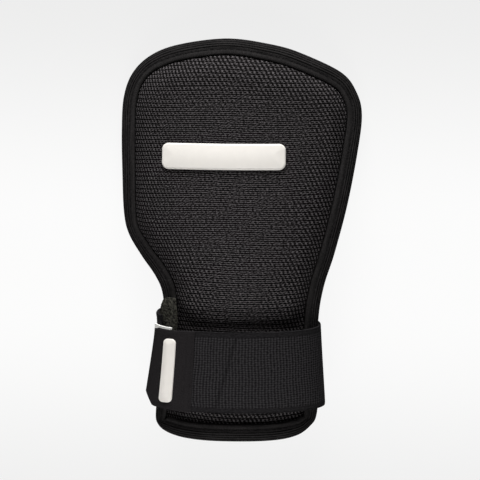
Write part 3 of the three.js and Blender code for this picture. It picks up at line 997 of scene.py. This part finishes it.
def wrist_strap(sizes, colours):
    """Strap: a section with a woven outer face carried round the loop, clipped at its free end.

    The weave is a sum of a cosine each way. The selvedges are plain, with painted shade along the bead at
    each edge and in the groove beside the weave, and a faint crease with painted shade crosses the face.
    """
    angle, at = strap_path()
    across = np.linspace(0, STRAP.width, int(STRAP.width / STRAP_STEP.across) + 1)
    edge = np.minimum(across, STRAP.width - across)
    plain = 1 - smoothstep(edge, SELVEDGE.width - SELVEDGE.blend, SELVEDGE.width + SELVEDGE.blend)
    # Places on the weave, in turns of each wave
    even_x, even_y = at[:, None] * MM / sizes.weave_along, across * MM / sizes.weave_across
    turns = {
        "X": drifted(even_x, even_y, WEAVE_DRIFT.along_rates, WEAVE_DRIFT),
        "Y": drifted(even_y, even_x, WEAVE_DRIFT.across_rates, WEAVE_DRIFT),
    }
    grid = 0.5 + sum(weight * np.cos(2 * np.pi * turns[axis]) for axis, weight in WEAVE_WAVES.items())
    # Painted shade: dark along the bead at each edge and in the groove beside the weave
    bead = BEAD.dark * bell(edge - BEAD.inset, BEAD.width)
    groove = WEAVE_GROOVE.dark * bell(edge - WEAVE_GROOVE.inset, WEAVE_GROOVE.width)
    line = SELVEDGE.shade - bead - groove
    weave = grid * (1 - plain) + line * plain
    share = across / STRAP.width
    crease_angle = CREASE.bottom + (CREASE.top - CREASE.bottom) * share
    crease = bell((angle[:, None] - crease_angle) * TAB_BADGE.mm_per_degree, CREASE.width)
    relief = sizes.weave_relief / MM * (1 - SELVEDGE.relief * plain)
    rounded = ROUNDED.depth * bell(edge, ROUNDED.width)
    face = STRAP.thickness + relief * (weave - 1) - CREASE.depth * crease - rounded
    # The section runs up the face and down the plain back
    back = np.linspace(1, 0, STRAP_STEP.back_points)
    bare = np.zeros((len(at), len(back)))
    v = np.concatenate([share, back])
    lift = np.concatenate([face, bare], axis=1)
    # Painted shade in the crease: there the weave's colour is mixed towards dark
    darkened = plain + (1 - plain) * CREASE.dark * crease
    selvedge = np.concatenate([line * (darkened > CREASE.dark), bare], axis=1)
    place = [np.concatenate([turn, turn[:, -1:] + bare], axis=1) for turn in turns.values()]
    place.append(np.concatenate([darkened, bare], axis=1))
    ending = np.clip((angle[:, None] - CLIMB[0]) / (STRAP.end - CLIMB[0]), 0, 1)
    turned = angle[:, None] - end_cut(v) * ending
    section = on_loop(turned, strap_y(turned, v), strap_rise(turned) + lift)
    columns, rows = section.shape[:2]
    points = section.reshape(-1, 3)
    first = np.arange(rows)
    caps = (first[::-1], (columns - 1) * rows + first)
    faces = outward(points, grid_quads(columns, rows, join_rows=True), caps)
    obj = piece(
        "wrist_strap_elastic", points, faces, elastic_material(colours), "woven_elastic",
        selvedge=selvedge, weave=np.stack(place, -1),
    )
    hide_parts("wrist_strap")
    return obj


def tab_grid(angle_share, v, rise):
    """Points of the tab: its share of the way from its seam to the strap's clipped end, and up its width."""
    end = STRAP.end - end_cut(v)
    angle = TAB.start + (end - TAB.start) * angle_share
    return on_loop(angle, strap_y(angle, v), strap_rise(angle) + STRAP.thickness + GAP + rise)


def tab_rise(run):
    """The tab's face over its back, by distance from its seam: thin, then a raised strip, then plain."""
    strip = SEAM_STRIP.raised * (1 - smoothstep(run, SEAM_STRIP.width - SEAM_STRIP.blend, SEAM_STRIP.width))
    share = SEAM_STRIP.thin + (1 - SEAM_STRIP.thin) * smoothstep(run, 0, SEAM_STRIP.thins_over)
    return (TAB.thickness - SEAM_STRIP.raised + strip) * share


def strap_tab(colours):
    """Tab facing: a smooth sheet over the strap's end, thinned to a raised seam strip where it begins."""
    share = np.linspace(0, 1, 90)[:, None]
    v = np.linspace(0, 1, 77)
    length = (STRAP.end - TAB.start) * TAB_BADGE.mm_per_degree
    run = share * length
    outer = tab_grid(share, v, tab_rise(run) + 0 * v)
    inner = tab_grid(share, v, 0 * share * v)
    # Painted shade: the facing darkens towards its cut end
    cut = np.broadcast_to(smoothstep(length - run, CUT_END.black, CUT_END.plain), outer.shape[:2]).ravel()
    obj = piece(
        "strap_tab_facing", *slab(outer, inner), facing_material(colours), "tab_facing",
        cut=np.concatenate([cut, cut]),
    )
    soften(obj, 0.28)
    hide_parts("strap_tab")
    return obj


def tab_stitches(sizes, material):
    """Stitches along the tab's seam strip and round its other three edges."""
    length = (STRAP.end - TAB.start) * TAB_BADGE.mm_per_degree
    up = np.linspace(TAB_LINES.low, TAB_LINES.high, 200)
    out = np.linspace(SEAM_STRIP.width / length, TAB_LINES.side_end, 200)
    runs = (TAB_LINES.strip, SEAM_STRIP.width - TAB_LINES.strip, length - TAB_LINES.end)
    lines = [(0 * up + run / length, up) for run in runs]
    lines += [(out, 0 * out + side) for side in TAB_LINES.sides]
    rows = []
    for share, v in lines:
        rise = tab_rise(share * length)
        path = tab_grid(share, v, rise)
        normals = tab_grid(share, v, rise + 1) - path
        rows.append(stitch_row(path, normals, sizes))
    return piece("tab_stitches", *joined(*rows), material, "tab_facing")


def hook_tape(colours):
    """Hook tape: a sheet behind the tab that shows past its top edge and its end."""
    share = np.linspace(0, 1, 50)[:, None]
    v = np.linspace(0, 1, 77)
    end = STRAP.end - clip_cut(v) + HOOK.past_end
    angle = HOOK.start + (end - HOOK.start) * share
    y = strap_y(angle, v) + HOOK.stands_over * v
    base = strap_rise(angle) - PLY_GAP - HOOK.thickness
    obj = piece(
        "hook_tape_patch", *slab(on_loop(angle, y, base + HOOK.thickness), on_loop(angle, y, base)),
        hook_tape_material(colours), "hook_tape",
    )
    soften(obj, 0.2)
    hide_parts("hook_patch")
    return obj


def badge(name, node, size, place, material):
    """Moulded bar with rounded corners: a grid whose rows spread over its height at each place along it.

    Its rise is a function of the distance in from its outline: a wall, a round bevel, and a low crown that
    climbs as a quarter sine to its middle line.
    """
    along_bar = np.sin(np.linspace(-np.pi / 2, np.pi / 2, 81))[:, None]
    across_bar = np.sin(np.linspace(-np.pi / 2, np.pi / 2, 41))
    x = along_bar * size.length / 2
    past = np.maximum(np.abs(x) - size.length / 2 + size.corner, 0)
    y = across_bar * (size.height / 2 - size.corner + np.sqrt(size.corner**2 - past**2))
    x = np.broadcast_to(x, y.shape)
    over_x = np.abs(x) - size.length / 2 + size.corner
    over_y = np.abs(y) - size.height / 2 + size.corner
    inside = size.corner - np.hypot(np.maximum(over_x, 0), np.maximum(over_y, 0))
    inside = inside - np.minimum(np.maximum(over_x, over_y), 0)
    bevel = np.sqrt(1 - (1 - np.clip(inside / size.bevel, 0, 1)) ** 2)
    half = min(size.length, size.height) / 2
    crown = np.sin(np.pi / 2 * np.clip((inside - size.bevel) / (half - size.bevel), 0, 1))
    shoulder = size.thickness - BADGE.wall - BADGE.crown
    rise = BADGE.wall + shoulder * bevel + BADGE.crown * crown
    obj = piece(name, *slab(place(x, y, rise), place(x, y, 0 * rise)), material, "badge_rubber")
    obj.data.set_sharp_from_angle(angle=np.radians(BADGE.sharp_angle))
    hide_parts(node)
    return obj


def on_pad(dx, dy, over):
    """Place of the shield's badge on the pad's face."""
    x, y = SHIELD_BADGE.x + dx, SHIELD_BADGE.y + dy
    return off_shell(x, y, PAD.edge / 2 + foam(x, y) + over)


def on_tab(dx, dy, over):
    """Place of the tab's badge on the tab's face."""
    angle = TAB_BADGE.angle - dx / TAB_BADGE.mm_per_degree
    rise = STRAP.thickness + GAP + TAB.thickness - SEAM_STRIP.raised
    return on_loop(angle, TAB_BADGE.y + dy, strap_rise(angle) + rise + over)


# Operators


class HANDGUARD_OT_shield(bpy.types.Operator):
    """Build the foam pad and the knit mesh stretched over it"""

    bl_idname = "hand_guard.shield"
    bl_label = "Shield pad"

    def execute(self, context):
        sizes, colours = context.scene.hand_guard_sizes, context.scene.hand_guard_colours
        pad_foam(sizes, colours)
        pad_cover(sizes, colours)
        return {"FINISHED"}


class HANDGUARD_OT_binding(bpy.types.Operator):
    """Bind the pad's edge and stitch the binding down"""

    bl_idname = "hand_guard.binding"
    bl_label = "Edge binding"

    def execute(self, context):
        sizes, colours = context.scene.hand_guard_sizes, context.scene.hand_guard_colours
        edge_binding(sizes, colours)
        binding_stitches(sizes, thread_material(colours))
        return {"FINISHED"}


class HANDGUARD_OT_wing(bpy.types.Operator):
    """Build the brushed wing that the strap closes over"""

    bl_idname = "hand_guard.wing"
    bl_label = "Cuff wing"

    def execute(self, context):
        cuff_wing(context.scene.hand_guard_colours)
        return {"FINISHED"}


class HANDGUARD_OT_strap(bpy.types.Operator):
    """Wind the elastic strap round the wrist"""

    bl_idname = "hand_guard.strap"
    bl_label = "Wrist strap"

    def execute(self, context):
        wrist_strap(context.scene.hand_guard_sizes, context.scene.hand_guard_colours)
        return {"FINISHED"}


class HANDGUARD_OT_tab(bpy.types.Operator):
    """Face the strap's end with its tab, stitches and hook tape"""

    bl_idname = "hand_guard.tab"
    bl_label = "Strap tab"

    def execute(self, context):
        sizes, colours = context.scene.hand_guard_sizes, context.scene.hand_guard_colours
        strap_tab(colours)
        tab_stitches(sizes, bpy.data.materials["bonded_polyester_thread"])
        hook_tape(colours)
        return {"FINISHED"}


class HANDGUARD_OT_badges(bpy.types.Operator):
    """Mould the plain badges on the shield and the tab"""

    bl_idname = "hand_guard.badges"
    bl_label = "Badges"

    def execute(self, context):
        rubber = badge_material(context.scene.hand_guard_colours)
        badge("shield_badge_moulding", "shield_badge", SHIELD_BADGE, on_pad, rubber)
        badge("tab_badge_moulding", "tab_badge", TAB_BADGE, on_tab, rubber)
        return {"FINISHED"}


# The floor in mm: half its width, its drop below the guard, and the middle of its evenly lit strip, with how
# far the strip reaches each way, where its light has dimmed, and to what share
FLOOR = Sizes(half=3000, drop=0.2, middle=-15, near=20, far=140, dimmed=0.86)
# Softboxes in metres: past the fingers, low over the wrist, and on the thumb's side
KEY_BOX = Sizes(place=(-0.08, 1.3, 0.28), size=0.9)
FRONT_BOX = Sizes(place=(0, -0.45, 0.28), size=0.4)
SIDE_BOX = Sizes(place=(-1, 0, 0.6), size=0.6)


def softbox(name, box, power):
    """Square area light aimed at the guard."""
    light = bpy.data.lights.new(name, "AREA")
    light.size = box.size
    light.energy = power
    obj = bpy.data.objects.new(name, light)
    obj.location = box.place
    obj.rotation_euler = (-Vector(box.place)).to_track_quat("-Z", "Y").to_euler()
    bpy.context.collection.objects.link(obj)


class HANDGUARD_OT_stage(bpy.types.Operator):
    """Lay the pale floor, light it softly and place the camera"""

    bl_idname = "hand_guard.stage"
    bl_label = "Stage"

    def execute(self, context):
        scene = context.scene
        stage = scene.hand_guard_stage
        half = FLOOR.half * MM
        corners = [(-half, -half), (half, -half), (half, half), (-half, half)]
        mesh = bpy.data.meshes.new("floor")
        mesh.from_pydata([(x, y, -FLOOR.drop * MM) for x, y in corners], [], [(0, 1, 2, 3)])
        mesh.materials.append(floor_material(scene.hand_guard_colours, stage.floor_glow))
        floor = bpy.data.objects.new("floor", mesh)
        context.collection.objects.link(floor)
        floor.visible_diffuse = False
        floor.visible_glossy = False
        softbox("key_softbox", KEY_BOX, stage.key_power)
        softbox("front_softbox", FRONT_BOX, stage.front_power)
        softbox("side_softbox", SIDE_BOX, stage.side_power)
        world = bpy.data.worlds.new("pale_surround")
        world.use_nodes = True
        world.node_tree.nodes["Background"].inputs["Strength"].default_value = stage.ambient
        world.node_tree.nodes["Background"].inputs["Color"].default_value = (1, 1, 1, 1)
        scene.world = world
        scene.view_settings.view_transform = "Standard"
        back = Vector((np.sin(stage.lean_side), np.sin(stage.lean_up), 0))
        back.z = (1 - back.length_squared) ** 0.5
        right = Vector((0, 1, 0)).cross(back).normalized()
        camera = bpy.data.cameras.new("camera")
        camera.lens = camera.sensor_width * stage.distance / stage.view_width
        rig = bpy.data.objects.new("camera", camera)
        turn = Matrix((right, back.cross(right), back)).transposed().to_4x4()
        rig.matrix_world = Matrix.Translation(Vector(stage.aim) + back * stage.distance) @ turn
        context.collection.objects.link(rig)
        scene.camera = rig
        return {"FINISHED"}


class VIEW3D_PT_hand_guard(bpy.types.Panel):
    """Sizes, colours and steps of the hand guard"""

    bl_label = "Hand guard"
    bl_space_type = "VIEW_3D"
    bl_region_type = "UI"
    bl_category = "Hand guard"

    def draw(self, context):
        for group in (
            context.scene.hand_guard_sizes, context.scene.hand_guard_colours, context.scene.hand_guard_stage
        ):
            column = self.layout.column(align=True)
            for key in group.__annotations__:
                column.prop(group, key)
        for step in STEPS:
            self.layout.operator(step.bl_idname)


STEPS = (
    HANDGUARD_OT_shield,
    HANDGUARD_OT_binding,
    HANDGUARD_OT_wing,
    HANDGUARD_OT_strap,
    HANDGUARD_OT_tab,
    HANDGUARD_OT_badges,
    HANDGUARD_OT_stage,
)
GROUPS = {
    "hand_guard_sizes": HandGuardSizes,
    "hand_guard_colours": HandGuardColours,
    "hand_guard_stage": HandGuardStage,
}


def register():
    """Register the settings, the steps and the panel."""
    for cls in (*GROUPS.values(), *STEPS, VIEW3D_PT_hand_guard):
        bpy.utils.register_class(cls)
    for key, group in GROUPS.items():
        setattr(bpy.types.Scene, key, bpy.props.PointerProperty(type=group))


def unregister():
    """Undo what register did."""
    for key in GROUPS:
        delattr(bpy.types.Scene, key)
    for cls in (VIEW3D_PT_hand_guard, *STEPS[::-1], *GROUPS.values()):
        bpy.utils.unregister_class(cls)


def main():
    """Register the settings and steps, and build the guard step by step."""
    register()
    bpy.ops.hand_guard.shield()
    bpy.ops.hand_guard.binding()
    bpy.ops.hand_guard.wing()
    bpy.ops.hand_guard.strap()
    bpy.ops.hand_guard.tab()
    bpy.ops.hand_guard.badges()
    bpy.ops.hand_guard.stage()


if __name__ == "__main__":
    main()
